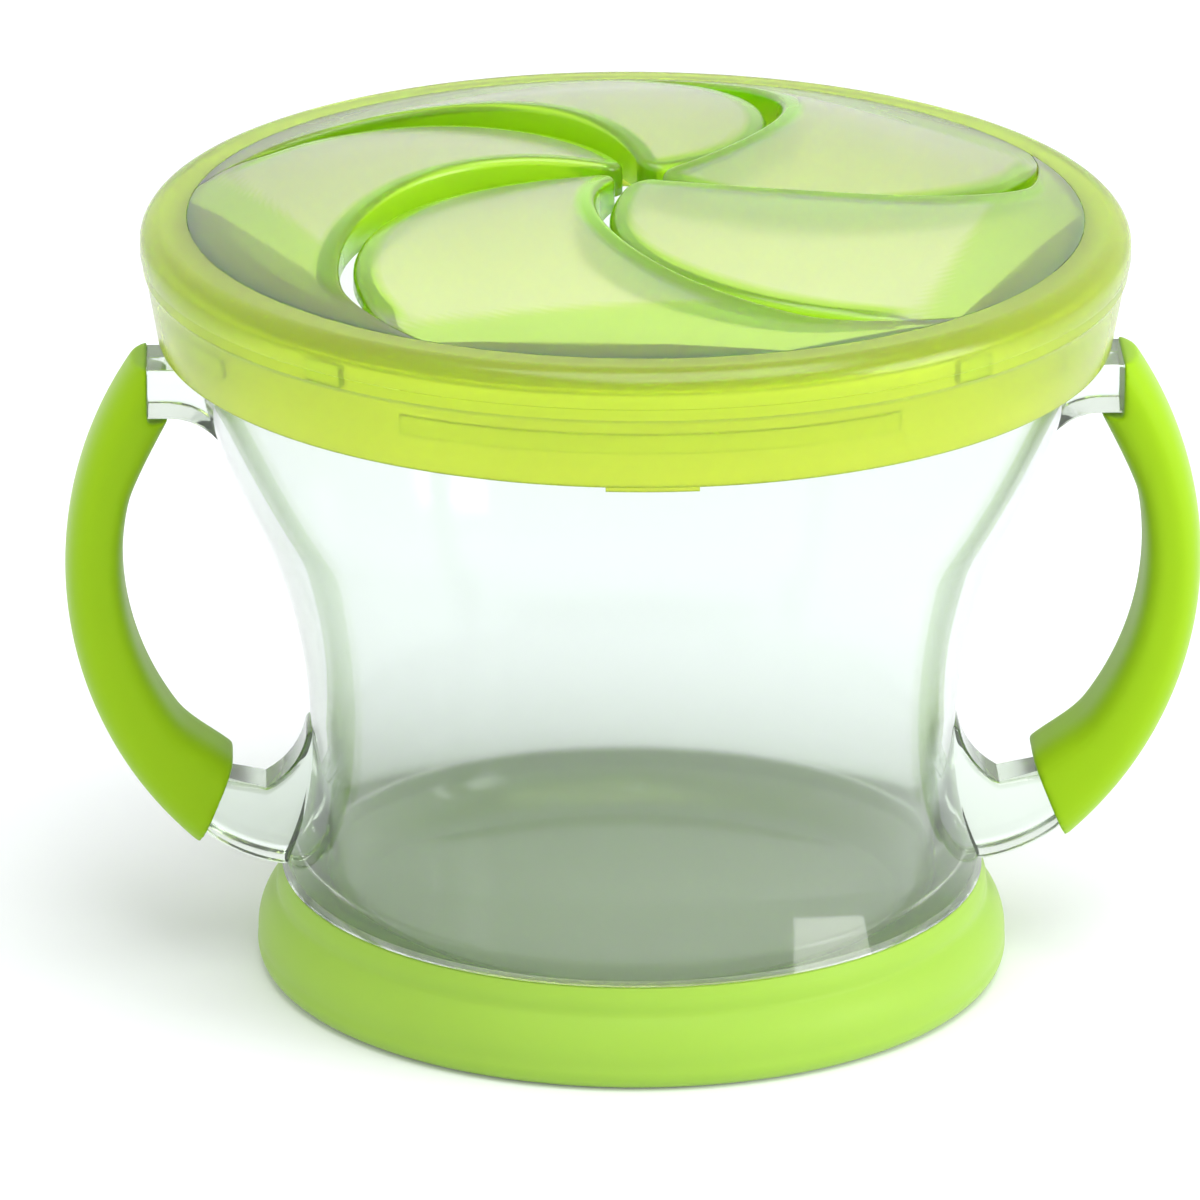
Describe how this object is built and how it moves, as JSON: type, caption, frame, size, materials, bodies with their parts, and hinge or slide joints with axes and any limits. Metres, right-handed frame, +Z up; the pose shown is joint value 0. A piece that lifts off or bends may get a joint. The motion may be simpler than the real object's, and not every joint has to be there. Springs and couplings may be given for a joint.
{
  "type": "toddler snack container",
  "caption": "Clear two-handled cup on a soft foot, with soft grips and a lid of swirled soft flaps that let a small hand in and keep snacks inside.",
  "frame": {"origin": "middle of the foot's underside, on the surface it stands on", "axes": "+Z up; X through the two handles; the lid's pull tab at -Y"},
  "size_m": [0.1158, 0.1, 0.0857],
  "materials": {
    "clear_plastic": "clear, glossy",
    "soft_foot": "smooth soft matte",
    "soft_grip": "smooth soft matte",
    "lid_plastic": "translucent, glossy",
    "soft_lid": "translucent, smooth"
  },
  "bodies": {
    "cup": {"cup": "clear_plastic", "handle_left": "clear_plastic", "handle_right": "clear_plastic", "base_foot": "soft_foot", "grip_left": "soft_grip", "grip_right": "soft_grip"},
    "lid": {"lid_ring": "lid_plastic", "flap_web": "soft_lid"},
    "flap_1_body": {"flap_1": "soft_lid"},
    "flap_2_body": {"flap_2": "soft_lid"},
    "flap_3_body": {"flap_3": "soft_lid"},
    "flap_4_body": {"flap_4": "soft_lid"},
    "flap_5_body": {"flap_5": "soft_lid"}
  },
  "joints": [
    {"name": "lid_lift", "type": "slide", "parent": "cup", "child": "lid", "axis": [0, 0, 1], "range_m": [0, 0.045]},
    {"name": "flap_1_bend", "type": "hinge", "parent": "lid", "child": "flap_1_body", "pos_m": [0.0257, 0.02546, 0.08075], "axis": [0.8184, -0.573, -0.0437], "range_deg": [-25, 65], "stiffness_Nm_per_rad": 0.02},
    {"name": "flap_2_bend", "type": "hinge", "parent": "lid", "child": "flap_2_body", "pos_m": [-0.01627, 0.03231, 0.08075], "axis": [0.7979, 0.6012, -0.0437], "range_deg": [-25, 65], "stiffness_Nm_per_rad": 0.02},
    {"name": "flap_3_bend", "type": "hinge", "parent": "lid", "child": "flap_3_body", "pos_m": [-0.03576, -0.00549, 0.08075], "axis": [-0.3253, 0.9446, -0.0438], "range_deg": [-25, 65], "stiffness_Nm_per_rad": 0.02},
    {"name": "flap_4_bend", "type": "hinge", "parent": "lid", "child": "flap_4_body", "pos_m": [-0.00583, -0.0357, 0.08075], "axis": [-0.9989, -0.0174, -0.0438], "range_deg": [-25, 65], "stiffness_Nm_per_rad": 0.02},
    {"name": "flap_5_bend", "type": "hinge", "parent": "lid", "child": "flap_5_body", "pos_m": [0.03216, -0.01658, 0.08075], "axis": [-0.2921, -0.9554, -0.0437], "range_deg": [-25, 65], "stiffness_Nm_per_rad": 0.02}
  ]
}
